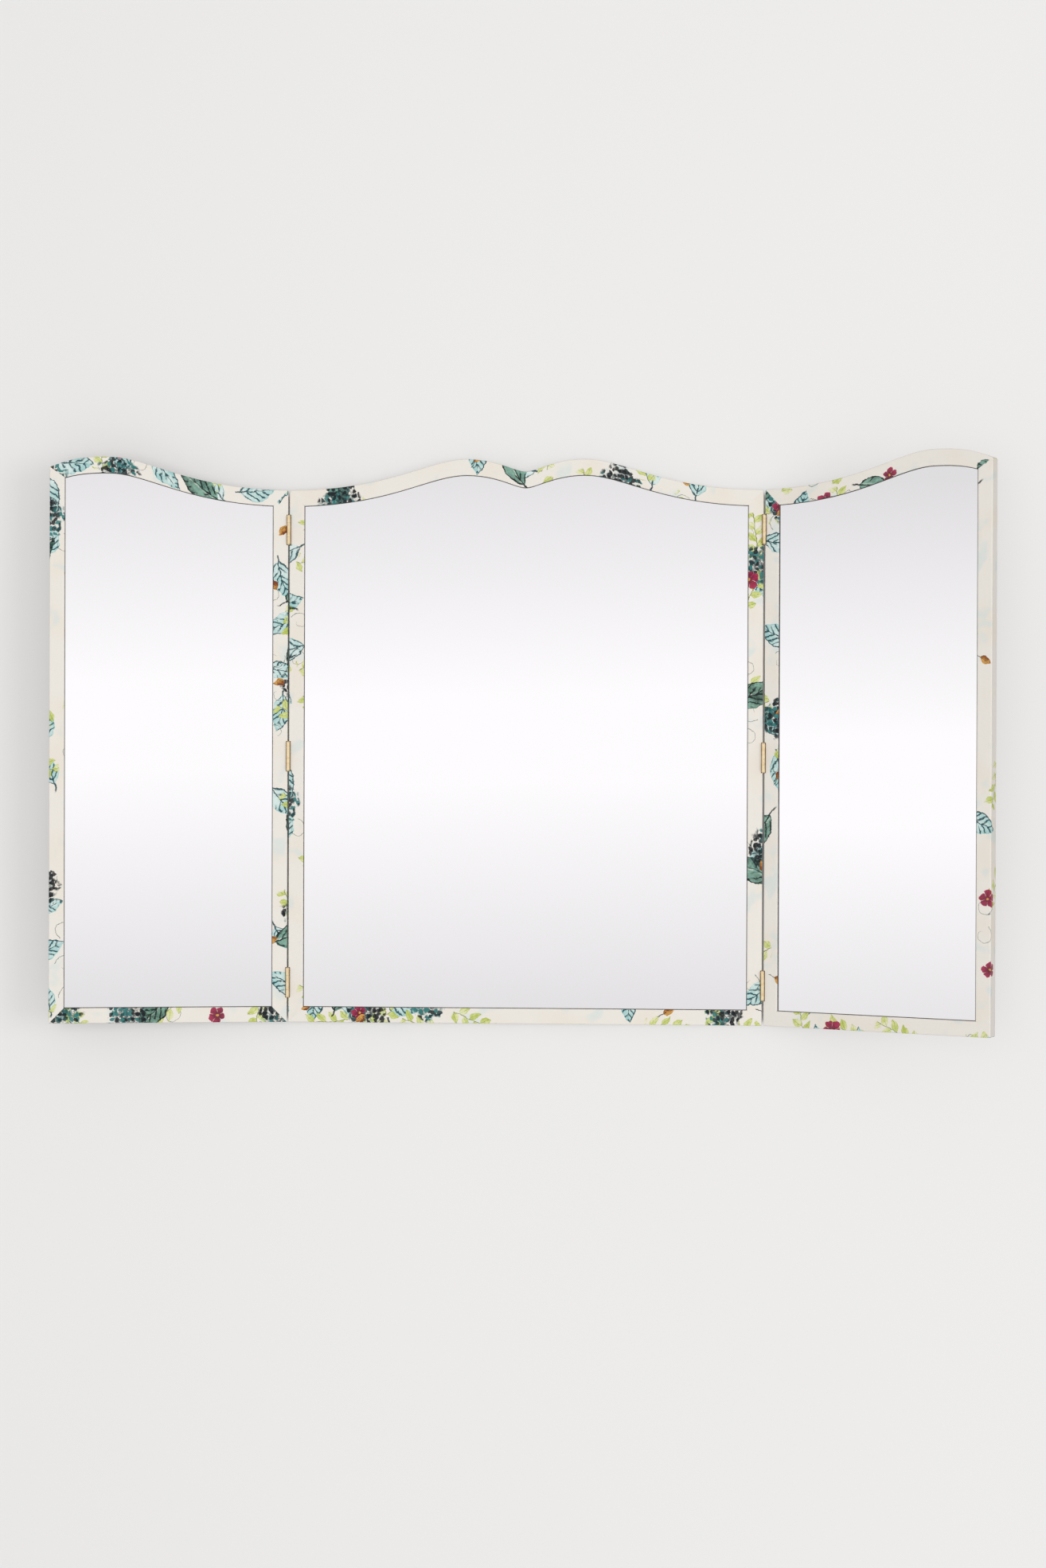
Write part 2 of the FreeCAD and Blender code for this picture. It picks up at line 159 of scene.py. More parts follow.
class Graph:
    """The nodes of a material or world, made in the order in which they are worked out."""

    def __init__(self, owner):
        owner.use_nodes = True
        self.tree = owner.node_tree
        self.tree.nodes.clear()

    def node(self, kind, inputs=None, **settings):
        made = self.tree.nodes.new("ShaderNode" + kind)
        for name, value in settings.items():
            setattr(made, name, value)
        for name, value in (inputs or {}).items():
            self.feed(made.inputs[name], value)
        return made

    def feed(self, socket, value):
        if isinstance(value, Wire):
            self.tree.links.new(value.socket, socket)
        else:
            socket.default_value = value

    def out(self, made, name):
        return Wire(self, made.outputs[name])

    def math(self, operation, *values):
        made = self.node("Math", operation=operation)
        for socket, value in zip(made.inputs, values):
            self.feed(socket, value)
        return self.out(made, 0)

    def vector(self, operation, *values):
        made = self.node("VectorMath", operation=operation)
        for socket, value in zip(made.inputs, values):
            self.feed(socket, value)
        return self.out(made, "Vector")

    def split(self, vector):
        made = self.node("SeparateXYZ", {"Vector": vector})
        return [self.out(made, name) for name in "XYZ"]

    def join(self, x, y, z):
        return self.out(self.node("CombineXYZ", {"X": x, "Y": y, "Z": z}), "Vector")

    def step(self, value, low, high):
        """A smooth rise from 0 at low to 1 at high, or a fall where low is the higher one."""
        ends = {"Value": value, "From Min": low, "From Max": high}
        return self.out(self.node("MapRange", ends, interpolation_type="SMOOTHSTEP"), "Result")

    def fit(self, value, low, high, to_low, to_high):
        """A value between two ends, moved to the same place between two others."""
        ends = {"Value": value, "From Min": low, "From Max": high, "To Min": to_low, "To Max": to_high}
        return self.out(self.node("MapRange", ends), "Result")

    def between(self, share, low, high):
        """The value a share of the way from low to high."""
        return self.fit(share, 0.0, 1.0, low, high)

    def length(self, x, y):
        return self.math("SQRT", x * x + y * y)

    def noise(self, vector, scale, detail=2.0, rough=0.5, output="Fac"):
        inputs = {"Vector": vector, "Scale": scale, "Detail": detail, "Roughness": rough}
        return self.out(self.node("TexNoise", inputs), output)

    def lots(self, vector):
        """Three random values for each whole-number place."""
        return self.out(self.node("TexWhiteNoise", {"Vector": vector}), "Color")

    def mix(self, share, first, second):
        """A blend of two colours."""
        made = self.node("Mix", data_type="RGBA")
        by_key = {socket.identifier: socket for socket in made.inputs}
        for key, value in (("Factor_Float", share), ("A_Color", first), ("B_Color", second)):
            self.feed(by_key[key], value)
        result = [socket for socket in made.outputs if socket.identifier == "Result_Color"]
        return Wire(self, result[0])

    def bump(self, height, strength, distance):
        inputs = {"Height": height, "Strength": strength, "Distance": distance}
        return self.out(self.node("Bump", inputs), "Normal")

    def object_place(self, scale):
        """The place on the piece, in units of a given number to the metre."""
        made = self.node("TexCoord")
        return self.vector("MULTIPLY", self.out(made, "Object"), (scale, scale, scale))

    def shader_mix(self, share, first, second):
        """A blend of two shaders."""
        made = self.node("MixShader", {"Fac": share})
        self.tree.links.new(first.outputs[0], made.inputs[1])
        self.tree.links.new(second.outputs[0], made.inputs[2])
        return made

    def finish(self, shader, kind):
        output = self.node(kind)
        self.tree.links.new(shader.outputs[0], output.inputs["Surface"])

    def surface(self, inputs):
        """The shader of a solid surface."""
        self.finish(self.node("BsdfPrincipled", inputs), "OutputMaterial")


def new_material(name):
    made = bpy.data.materials.new(name)
    return made, Graph(made)


# The printed cloth: colours of the ground and of each kind of motif
GROUND = srgb(238, 232, 223)
GROUND_WARM = srgb(236, 226, 212)
GROUND_COOL = srgb(233, 232, 226)
WASH = srgb(216, 226, 223)
AQUA = srgb(220, 235, 231)
AQUA_DEEP = srgb(150, 200, 198)
AQUA_INK = srgb(20, 70, 78)
SAGE = srgb(132, 176, 158)
SAGE_DEEP = srgb(14, 54, 46)
LIME = srgb(229, 232, 168)
LIME_DEEP = srgb(176, 190, 66)
OLIVE = srgb(124, 134, 52)
TEAL = srgb(52, 122, 120)
TEAL_DEEP = srgb(8, 50, 54)
NIGHT = srgb(12, 18, 24)
CRIMSON = srgb(174, 40, 84)
CRIMSON_DEEP = srgb(100, 12, 44)
OCHRE = srgb(214, 160, 84)
RUST = srgb(138, 68, 28)
INK = srgb(12, 26, 24)
INK_SOFT = srgb(96, 112, 104)

# Where the print is crowded and where it is bare: scale of the patches, and the levels of their edges
CROWD_SCALE = 0.0085
CROWD_EDGES = (0.365, 0.585)

# Random lots of the motifs: the shift from one layer's grid to the next, and to a second set of lots
SEED_STEPS = (13.7, 7.9)
SECOND_LOTS = (31.5, 17.5, 5.5)

# The smallest motif's size against the largest, and how strongly wash and grain set a fill's tone
SIZE_LEAST = 0.65
SIZE_RANGE = 0.35
WASH_TONE = 0.9
GRAIN_TONE = 0.6


def grid_offset(cell, seed):
    return seed * SEED_STEPS[0], seed * SEED_STEPS[1], (seed + 0.5) * cell


def scattered(g, place, cell, seed, wander):
    """A grid of places: the coordinates along and across each, in millimetres, its three random lots and
    the corner of its cell."""
    scaled = g.vector("DIVIDE", g.vector("ADD", place, grid_offset(cell, seed)), (cell,) * 3)
    corner = g.vector("FLOOR", scaled)
    drift = g.vector("MULTIPLY_ADD", g.lots(corner), (wander,) * 3, (0.5 - wander / 2,) * 3)
    away = g.vector("SUBTRACT", g.vector("SUBTRACT", scaled, corner), drift)
    own = g.vector("MULTIPLY", away, (cell,) * 3)
    lots = g.split(g.lots(g.vector("ADD", corner, SECOND_LOTS)))
    turned = g.node("VectorRotate", {"Vector": own, "Angle": lots[0] * math.tau}, rotation_type="Z_AXIS")
    along, across, _ = g.split(g.out(turned, "Vector"))
    return along, across, lots, corner


def motifs(g, place, cell, seed, chance, wander):
    """Scattered places with a motif at some of them, at more of them where the print is crowded: the
    coordinates, the lots, and 1 where there is a motif."""
    along, across, lots, corner = scattered(g, place, cell, seed, wander)
    to_middle = tuple(cell / 2 - part for part in grid_offset(cell, seed))
    middle = g.vector("MULTIPLY_ADD", corner, (cell,) * 3, to_middle)
    crowd = g.step(g.noise(middle, CROWD_SCALE, detail=0.0), *CROWD_EDGES)
    here = g.math("LESS_THAN", lots[1], crowd * chance)
    return along, across, lots, here


# Outline of a leaf: how it swells and tapers, and how far past its tip the outline is followed
LEAF_SWELL = 5.0
LEAF_TAPER = 2.0
PAST_TIP = 1.1


def leaf_edge(g, share, across, half_width):
    """How far inside a leaf's outline a place is, in millimetres. The share runs from stalk to tip."""
    share = g.math("MINIMUM", share, PAST_TIP)
    bulge = share * (1.0 - share) * (LEAF_SWELL - LEAF_TAPER * share) * half_width
    return bulge - abs(across)


# Single leaves: their bend, paint pooled at rim and tip, a dry streak by the rib, and slanting side lines
LEAF_BEND = 30.0
LEAF_COVER = 0.96
POOL_RIM = 0.22
POOL_TIP = 0.3
DRY_PLACE = 1.7
DRY_COVER = 0.65
RIB_MIDDLE = 0.3
SIDE_LINES = 5.5
SIDE_SLANT = 0.13


def leaf_layer(g, colour, place, grain, wash, cell, seed, chance, length, half_width, tones, ink):
    """Single leaves: a wet two-tone fill that darkens at its rim, and broken pen lines over it."""
    along, across, lots, here = motifs(g, place, cell, seed, chance, wander=0.12)
    size = lots[2] * SIZE_RANGE + SIZE_LEAST
    share = along / (size * length) + 0.5
    bent = across + (share - 0.5) * (share - 0.5) * (lots[1] - chance / 2) * LEAF_BEND
    edge = leaf_edge(g, share, bent, size * half_width)
    pooled = g.step(edge, 1.5, 0.1) * POOL_RIM + share * POOL_TIP
    tone = g.step(pooled + wash * WASH_TONE + grain * GRAIN_TONE, 0.62, 1.22)
    fill = g.mix(tone, *tones)
    dry = g.step(abs(bent - DRY_PLACE), 1.3, 0.3) * g.step(grain, 0.44, 0.6)
    fill = g.mix(dry * DRY_COVER, fill, GROUND)
    colour = g.mix(g.step(edge, -0.15, 0.35) * here * LEAF_COVER, colour, fill)
    broad = grain * 1.1 + 0.1
    rim = g.step(abs(edge - 0.35), broad * 1.6, 0.3) * g.step(bent, -1.5, 1.5)
    rib = g.step(abs(bent), (PAST_TIP - share) * 1.4, 0.3) * g.step(abs(share - RIB_MIDDLE), 0.55, 0.45)
    slant = g.math("FRACT", share * SIDE_LINES - abs(bent) * SIDE_SLANT + wash)
    side = g.step(abs(slant - 0.5), 0.22, 0.1) * g.step(edge, 0.2, 1.2) * g.step(wash, 0.38, 0.5)
    lines = g.math("MAXIMUM", g.math("MAXIMUM", rim, rib), side * 0.95)
    return g.mix(lines * here * g.step(grain, 0.26, 0.42), colour, ink)


# Sprays: the stem's curve and taper, and the small leaves' tilt, sizes to the pitch and pooled rim
STEM_CURVE = 0.012
STEM_TAPER = 3.0
SPRAY_TILT = 48.0
SPRAY_LENGTH = 1.12
SPRAY_HALF_WIDTH = 0.29
SPRAY_RIM = 0.2


def spray_layer(g, colour, place, grain, wash, cell, seed, chance, length, pitch):
    """Thin stems with small leaves along both sides, some of them paler."""
    along, across, lots, here = motifs(g, place, cell, seed, chance, wander=0.12)
    curved = across + along * along * (lots[2] - 0.5) * STEM_CURVE
    on_stem = g.step(abs(along), length / 2, length / 2 - STEM_TAPER) * here
    stem = g.step(abs(curved), grain * 0.9 + 0.15, 0.15) * on_stem
    shifted = along / pitch + g.math("GREATER_THAN", curved, 0.0) * 0.5
    start = g.math("FRACT", shifted) * pitch
    aside = abs(curved)
    tilt = math.radians(SPRAY_TILT)
    out = start * math.cos(tilt) + aside * math.sin(tilt)
    beside = aside * math.cos(tilt) - start * math.sin(tilt)
    leaf = leaf_edge(g, out / (pitch * SPRAY_LENGTH), beside, pitch * SPRAY_HALF_WIDTH)
    inside = g.step(leaf, -0.15, 0.35) * on_stem
    pooled = wash * WASH_TONE + grain * GRAIN_TONE + g.step(leaf, 1.0, 0.1) * SPRAY_RIM
    tone = g.step(pooled, 0.5, 1.05)
    cover = inside * (g.step(wash, 0.3, 0.48) * 0.45 + 0.5)
    colour = g.mix(cover, colour, g.mix(tone, LIME, LIME_DEEP))
    rib = g.step(abs(beside), grain * 0.7, 0.1) * inside
    return g.mix(g.math("MAXIMUM", stem, rib * 0.7), colour, OLIVE)


# Floret heads: the dabs' seeds and half sizes to their pitch, and the head's edge, core and shaded side
DAB_SEED = 20
DAB_LENGTH = 0.54
DAB_WIDTH = 0.38
DAB_COVER = 0.94
SECOND_DABS = 0.8
HEAD_RAGGED = 30.0
HEAD_EDGE = 4.0
HEAD_WASH = 0.35
CORE_REACH = (0.85, 0.35)
CORE_COVER = 0.85
SHADE_REACH = (-0.2, 0.7)


def dabs(g, place, grain, pitch, seed):
    """Short brush dabs, turned every way: where they are, and one random lot for each."""
    x, y, lots, _ = scattered(g, place, pitch, seed, wander=0.5)
    along = x / (pitch * DAB_LENGTH)
    across = y / (pitch * DAB_WIDTH)
    reach = g.length(along, across)
    return g.step(reach + grain * 0.8, 1.4, 1.15) * g.step(lots[2], 0.1, 0.16), lots[1]


def floret_layer(g, colour, place, grain, wash, cell, seed, chance, radius, pitch):
    """Loose heads of small florets, dabbed in mid and dark teal over a pale wash with a dark heart."""
    along, across, _, here = motifs(g, place, cell, seed, chance, wander=0.2)
    far = g.length(along, across) + (wash - 0.5) * HEAD_RAGGED
    head = g.step(far, radius, radius - HEAD_EDGE) * here
    colour = g.mix(head * g.step(grain, 0.45, 0.65) * HEAD_WASH, colour, AQUA_DEEP)
    core = g.step(far, *[radius * part for part in CORE_REACH]) * g.step(grain, 0.4, 0.53) * here
    colour = g.mix(core * CORE_COVER, colour, TEAL_DEEP)
    shade = g.step(along + (wash - 0.5) * HEAD_RAGGED, *[radius * part for part in SHADE_REACH])
    for layer, size in enumerate((pitch, pitch * SECOND_DABS)):
        shown, lot = dabs(g, place, grain, size, seed + DAB_SEED + layer)
        tone = g.mix(g.step(lot, 0.25, 0.7), TEAL, TEAL_DEEP)
        tone = g.mix(g.step(lot + shade, 0.5, 0.95), tone, NIGHT)
        colour = g.mix(shown * head * DAB_COVER, colour, tone)
    return colour


# Blossoms: number of petals, how blunt and how deeply cut they are, and the fine streaks on them
PETALS = 5
PETAL_BLUNT = 0.45
PETAL_CUT = 0.42
PETAL_LEAST = 0.18
PETAL_COVER = 0.97
STREAKS = 31.0
STREAK_DRIFT = 14.0
STREAK_DEPTH = 0.2
FOLD_COVER = 0.8


def blossom_layer(g, colour, place, grain, wash, cell, seed, chance, radius):
    """Open five-petalled flowers with streaked petals and a small heart."""
    along, across, lots, here = motifs(g, place, cell, seed, chance, wander=0.25)
    size = (lots[2] * SIZE_RANGE + SIZE_LEAST) * radius
    far = g.length(along, across) / size
    angle = g.math("ARCTAN2", across, along)
    lobe = abs(g.math("COSINE", angle * (PETALS / 2)))
    outline = g.math("POWER", lobe, PETAL_BLUNT) * PETAL_CUT + wash * 0.8 + PETAL_LEAST
    petals = g.step(outline - far, -0.02, 0.05) * here
    streak = g.math("SINE", angle * STREAKS + grain * STREAK_DRIFT) * STREAK_DEPTH
    depth = g.step(1.0 - far * 0.7 + streak + grain * 0.7 - wash * 0.6, 0.25, 1.0)
    colour = g.mix(petals * PETAL_COVER, colour, g.mix(depth, CRIMSON, CRIMSON_DEEP))
    fold = g.step(lobe, 0.16, 0.05) * g.step(far, 0.25, 0.5) * petals * g.step(grain, 0.4, 0.55)
    colour = g.mix(fold * FOLD_COVER, colour, GROUND_WARM)
    return g.mix(g.step(far + grain * 0.15, 0.26, 0.18) * here, colour, OCHRE)


# Pods and curls: a pod's half width to its length, its ribs and stalk, and how far in a curl winds
POD_HALF_WIDTH = 0.3
POD_RIBS = 0.6
STALK_BELOW = 0.15
CURL_INNER = 0.3
CURL_COVER = 0.85


def pod_layer(g, colour, place, grain, wash, cell, seed, chance, length):
    """Small seed pods with ribbed sides on a short stalk."""
    along, across, _, here = motifs(g, place, cell, seed, chance, wander=0.35)
    share = along / length + 0.5
    edge = leaf_edge(g, share, across, length * POD_HALF_WIDTH)
    tone = g.step(grain * 0.8 + wash * 0.5 + across * 0.1, 0.4, 1.0)
    colour = g.mix(g.step(edge, -0.1, 0.3) * here, colour, g.mix(tone, OCHRE, RUST))
    to_rib = abs(g.math("FRACT", across * POD_RIBS + wash) - 0.5)
    ribs = g.step(to_rib, 0.2, 0.06) * g.step(edge, 0.1, 0.6)
    stalk = g.step(abs(across), 0.55, 0.15) * g.step(abs(share + STALK_BELOW), 0.45, 0.35)
    lines = g.math("MAXIMUM", ribs * g.step(grain, 0.4, 0.56), stalk)
    return g.mix(lines * here, colour, INK)


def curl_layer(g, colour, place, grain, cell, seed, chance, radius):
    """Thin pen curls that wind inwards."""
    along, across, _, here = motifs(g, place, cell, seed, chance, wander=0.3)
    turn = g.math("ARCTAN2", across, along) / math.tau + 0.5
    far = g.length(along, across)
    off = abs(far - (turn * (1.0 - CURL_INNER) + CURL_INNER) * radius)
    line = g.step(off, turn * 0.5 + grain * 0.5, 0.1) * g.step(turn, 0.06, 0.2)
    return g.mix(line * here * CURL_COVER, colour, INK_SOFT)


# Scales of the print's unevenness, to the millimetre, and of the weave
WOBBLE_SCALE = 0.11
WOBBLE = 7.0
GRAIN_SCALE = 0.3
WASH_SCALE = 0.055
WARM_SCALE = 0.017
STAIN_SCALE = 0.027
THREADS = 14.0


def printed_cloth():
    """Cream cloth with a loose print of leaves, curls, sprays, floret heads, blossoms and pods."""
    material, g = new_material("printed_cloth")
    flat = g.out(g.node("UVMap", uv_map="cloth"), "UV")
    exact = g.vector("MULTIPLY", flat, (PER_METRE, PER_METRE, 0.0))
    drift = g.noise(exact, WOBBLE_SCALE, detail=4.0, rough=0.6, output="Color")
    wobble = g.vector("SUBTRACT", drift, (0.5, 0.5, 0.5))
    place = g.vector("MULTIPLY_ADD", wobble, (WOBBLE, WOBBLE, 0.0), exact)
    grain = g.noise(exact, GRAIN_SCALE, detail=3.0, rough=0.65)
    wash = g.noise(exact, WASH_SCALE, detail=2.0)
    paint = (place, grain, wash)
    colour = g.mix(g.step(grain, 0.35, 0.75) * 0.5, GROUND, GROUND_COOL)
    warm = g.noise(exact, WARM_SCALE, detail=1.0)
    colour = g.mix(g.step(warm, 0.45, 0.7) * 0.6, colour, GROUND_WARM)
    stain = g.noise(exact, STAIN_SCALE, detail=2.0)
    colour = g.mix(g.step(stain, 0.57, 0.68) * 0.6, colour, WASH)
    pale_leaf = {"cell": 58.0, "seed": 1, "chance": 0.85, "length": 54.0, "half_width": 14.0}
    colour = leaf_layer(g, colour, *paint, **pale_leaf, tones=(AQUA, AQUA_DEEP), ink=AQUA_INK)
    colour = curl_layer(g, colour, place, grain, cell=44.0, seed=7, chance=0.5, radius=13.0)
    colour = spray_layer(g, colour, *paint, cell=62.0, seed=2, chance=0.75, length=60.0, pitch=15.0)
    dark_leaf = {"cell": 74.0, "seed": 3, "chance": 0.65, "length": 62.0, "half_width": 16.0}
    colour = leaf_layer(g, colour, *paint, **dark_leaf, tones=(SAGE, SAGE_DEEP), ink=INK)
    colour = floret_layer(g, colour, *paint, cell=92.0, seed=4, chance=0.6, radius=27.0, pitch=8.2)
    colour = blossom_layer(g, colour, *paint, cell=82.0, seed=5, chance=0.45, radius=13.0)
    colour = pod_layer(g, colour, *paint, cell=66.0, seed=6, chance=0.4, length=16.0)
    threads = g.vector("MULTIPLY", exact, (THREADS, THREADS, 0.0))
    warp, weft, _ = g.split(threads)
    weave = g.math("SINE", warp) * g.math("SINE", weft) * 0.5 + grain * 0.8
    g.surface(
        {
            "Base Color": colour,
            "Roughness": g.fit(grain, 0.3, 0.7, to_low=0.46, to_high=0.62),
            "Specular IOR Level": 0.28,
            "Sheen Weight": 0.08,
            "Normal": g.bump(weave, strength=0.25, distance=0.06 * MM),
        }
    )
    return material


# Colours of the other materials
SILVER = (srgb(253, 252, 253), srgb(255, 252, 255))
BRASS = srgb(255, 234, 192)
BRASS_AGED = srgb(244, 202, 138)
BRASS_DRAWN = srgb(255, 246, 222)
# Painted shade for brass that faces sideways, such as the flanks of a hinge barrel
BRASS_SIDE_SHADE = srgb(146, 112, 70)
ZINC = srgb(196, 198, 197)
ZINC_SPANGLE = srgb(168, 170, 171)
ZINC_SCUFF = srgb(214, 214, 208)
CORE_PALE = srgb(196, 164, 124)
CORE_DARK = srgb(160, 124, 86)
BOARD_PALE = srgb(182, 146, 104)
BOARD_DARK = srgb(146, 110, 72)
FIBRE_SPECK = srgb(84, 58, 34)
PLY_LAYERS = (srgb(176, 140, 96), srgb(214, 186, 146))
GASKET_PALE = srgb(104, 101, 99)
GASKET_DARK = srgb(76, 73, 72)
FOAM_PALE = srgb(226, 226, 220)
FOAM_DARK = srgb(206, 206, 198)
BUMPER_PALE = srgb(78, 74, 70)
BUMPER_DARK = srgb(58, 55, 52)


def mirror_glass():
    """Silvered glass, clean but for the faintest wiping marks."""
    material, g = new_material("mirror_silver")
    place = g.object_place(1.0)
    wiped = g.noise(g.vector("MULTIPLY", place, (3.0, 3.0, 9.0)), scale=1.0, detail=3.0)
    g.surface(
        {
            "Base Color": g.mix(wiped, *SILVER),
            "Metallic": 1.0,
            "Roughness": g.fit(wiped, 0.3, 0.7, to_low=0.0, to_high=0.012),
        }
    )
    return material


def brass():
    """Satin lacquered brass, drawn lengthwise and a little darker where it has aged, with painted shade
    where it faces sideways: on the flanks of a barrel and on the leaves."""
    material, g = new_material("brass_satin")
    place = g.object_place(PER_METRE)
    drawn = g.noise(g.vector("MULTIPLY", place, (6.0, 6.0, 0.25)), scale=1.0, detail=3.0)
    aged = g.noise(place, scale=0.22, detail=3.0)
    colour = g.mix(g.step(aged, 0.42, 0.72) * 0.5, BRASS, BRASS_AGED)
    colour = g.mix(g.step(drawn, 0.45, 0.75) * 0.3, colour, BRASS_DRAWN)
    # Painted shade: the more the surface faces sideways, the darker it is, so a barrel's flanks darken
    # against its bright middle
    aside = g.split(g.out(g.node("TexCoord"), "Normal"))[0]
    colour = g.mix(g.step(abs(aside) + aged * 0.2, 0.45, 1.2), colour, BRASS_SIDE_SHADE)
    g.surface(
        {
            "Base Color": colour,
            "Metallic": 1.0,
            "Roughness": g.fit(drawn, 0.25, 0.75, to_low=0.24, to_high=0.34),
            "Normal": g.bump(drawn, strength=0.12, distance=0.03 * MM),
        }
    )
    return material


def zinc():
    """Bright zinc plating with a faint spangle."""
    material, g = new_material("zinc_plate")
    place = g.object_place(PER_METRE)
    cell = g.node("TexVoronoi", {"Vector": place, "Scale": 0.7})
    spangle = g.split(g.out(cell, "Color"))[0]
    scuff = g.noise(g.vector("MULTIPLY", place, (0.4, 3.0, 5.0)), scale=1.0, detail=4.0)
    colour = g.mix(spangle * 0.5, ZINC, ZINC_SPANGLE)
    g.surface(
        {
            "Base Color": g.mix(g.step(scuff, 0.55, 0.75) * 0.3, colour, ZINC_SCUFF),
            "Metallic": 1.0,
            "Roughness": g.fit(spangle + scuff, 0.4, 1.5, to_low=0.28, to_high=0.46),
            "Normal": g.bump(scuff, strength=0.1, distance=0.04 * MM),
        }
    )
    return material


def fibreboard(name, pale, dark):
    """Raw fibreboard: fine pressed fibres, darker flecks and soft blotches."""
    material, g = new_material(name)
    place = g.object_place(PER_METRE)
    fibres = g.noise(g.vector("MULTIPLY", place, (1.1, 1.1, 0.35)), scale=1.6, detail=4.0, rough=0.65)
    blotch = g.noise(place, scale=0.03, detail=3.0)
    fleck = g.node("TexVoronoi", {"Vector": place, "Scale": 0.45})
    specks = g.step(g.out(fleck, "Distance"), 0.16, 0.05) * g.step(fibres, 0.45, 0.6)
    colour = g.mix(g.step(fibres, 0.3, 0.72), pale, dark)
    colour = g.mix(g.step(blotch, 0.4, 0.7) * 0.35, colour, dark)
    g.surface(
        {
            "Base Color": g.mix(specks * 0.6, colour, FIBRE_SPECK),
            "Roughness": g.fit(fibres, 0.3, 0.7, to_low=0.74, to_high=0.9),
            "Specular IOR Level": 0.22,
            "Normal": g.bump(fibres, strength=0.35, distance=0.12 * MM),
        }
    )
    return material


def plywood():
    """Thin feather stock, in pale layers along the depth."""
    material, g = new_material("feather_ply")
    place = g.object_place(PER_METRE)
    depth = g.split(place)[1]
    grain = g.noise(g.vector("MULTIPLY", place, (0.25, 4.0, 0.25)), scale=1.0, detail=3.0)
    layer = g.step(g.math("SINE", depth * 6.0 + grain * 1.5), -0.3, 0.4)
    g.surface(
        {
            "Base Color": g.mix(layer, *PLY_LAYERS),
            "Roughness": g.fit(grain, 0.3, 0.7, to_low=0.6, to_high=0.8),
            "Normal": g.bump(grain, strength=0.25, distance=0.1 * MM),
        }
    )
    return material


# How much the roughness of rubber varies
RUBBER_VARIES = 0.08


def soft_rubber(name, pale, dark, rough):
    """Matt rubber or foam with a fine pitted skin and a little dust."""
    material, g = new_material(name)
    place = g.object_place(PER_METRE)
    pits = g.noise(place, scale=2.2, detail=3.0, rough=0.6)
    dust = g.noise(place, scale=0.12, detail=3.0)
    smoothest, roughest = rough - RUBBER_VARIES, rough + RUBBER_VARIES
    g.surface(
        {
            "Base Color": g.mix(g.step(dust * 0.7 + pits * 0.3, 0.35, 0.7), dark, pale),
            "Roughness": g.fit(pits, 0.3, 0.7, to_low=smoothest, to_high=roughest),
            "Specular IOR Level": 0.3,
            "Normal": g.bump(pits, strength=0.3, distance=0.08 * MM),
        }
    )
    return material


CLOTH = printed_cloth()
FINISHES = {
    "frame_wood": fibreboard("frame_fibreboard", CORE_PALE, CORE_DARK),
    "printed_cloth": CLOTH,
    "feather_wood": plywood(),
    "mirror_glass": mirror_glass(),
    "dark_gasket": soft_rubber("gasket_dark", GASKET_PALE, GASKET_DARK, rough=0.55),
    "adhesive": soft_rubber("adhesive_foam", FOAM_PALE, FOAM_DARK, rough=0.85),
    "board": fibreboard("back_fibreboard", BOARD_PALE, BOARD_DARK),
    "steel": zinc(),
    "bumper": soft_rubber("bumper_soft", BUMPER_PALE, BUMPER_DARK, rough=0.7),
    "brass": brass(),
}
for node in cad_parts.values():
    for slot in node.material_slots:
        slot.material = FINISHES[slot.material.name]


def bezier(values, share):
    """One coordinate of a cubic curve, a share of the way along its four control values."""
    rest = 1 - share
    weights = (rest**3, 3 * rest**2 * share, 3 * rest * share**2, share**3)
    return sum(weight * value for weight, value in zip(weights, values))


class Outline:
    """The outer edge of one flat panel: its two sides and the curved stretches of its top."""

    def __init__(self, stretches):
        self.left = stretches[0][0][0]
        self.right = stretches[-1][-1][0]
        self.places, self.heights = [], []
        for stretch in stretches:
            for i in range(CURVE_STEPS + 1):
                self.places.append(bezier([p[0] for p in stretch], i / CURVE_STEPS))
                self.heights.append(bezier([p[1] for p in stretch], i / CURVE_STEPS))

    def top_at(self, x):
        i = min(max(bisect.bisect_right(self.places, x), 1), len(self.places) - 1)
        low, high = self.places[i - 1], self.places[i]
        share = (x - low) / (high - low) if high > low else 0.0
        share = min(max(share, 0.0), 1.0)
        return self.heights[i - 1] + (self.heights[i] - self.heights[i - 1]) * share

    def mitre_height(self, edge, inward, inset):
        """The height of the upper mitre line of a side, at an inset from that side."""
        outer = self.top_at(edge)
        inner = self.top_at(edge + inward * STILE_FACE) - TOP_FACE
        return outer + (inner - outer) * inset / STILE_FACE

    def mitre_place(self, edge, inward, drop):
        """How far across the upper mitre line is met, at a drop below the top edge."""
        low, high = 0.0, STILE_FACE
        for _ in range(MITRE_HALVINGS):
            middle = (low + high) / 2
            x = edge + inward * middle
            if self.top_at(x) - drop < self.mitre_height(edge, inward, middle):
                low = middle
            else:
                high = middle
        return edge + inward * low


def flipped(stretch):
    return [(-x, z) for x, z in reversed(stretch)]


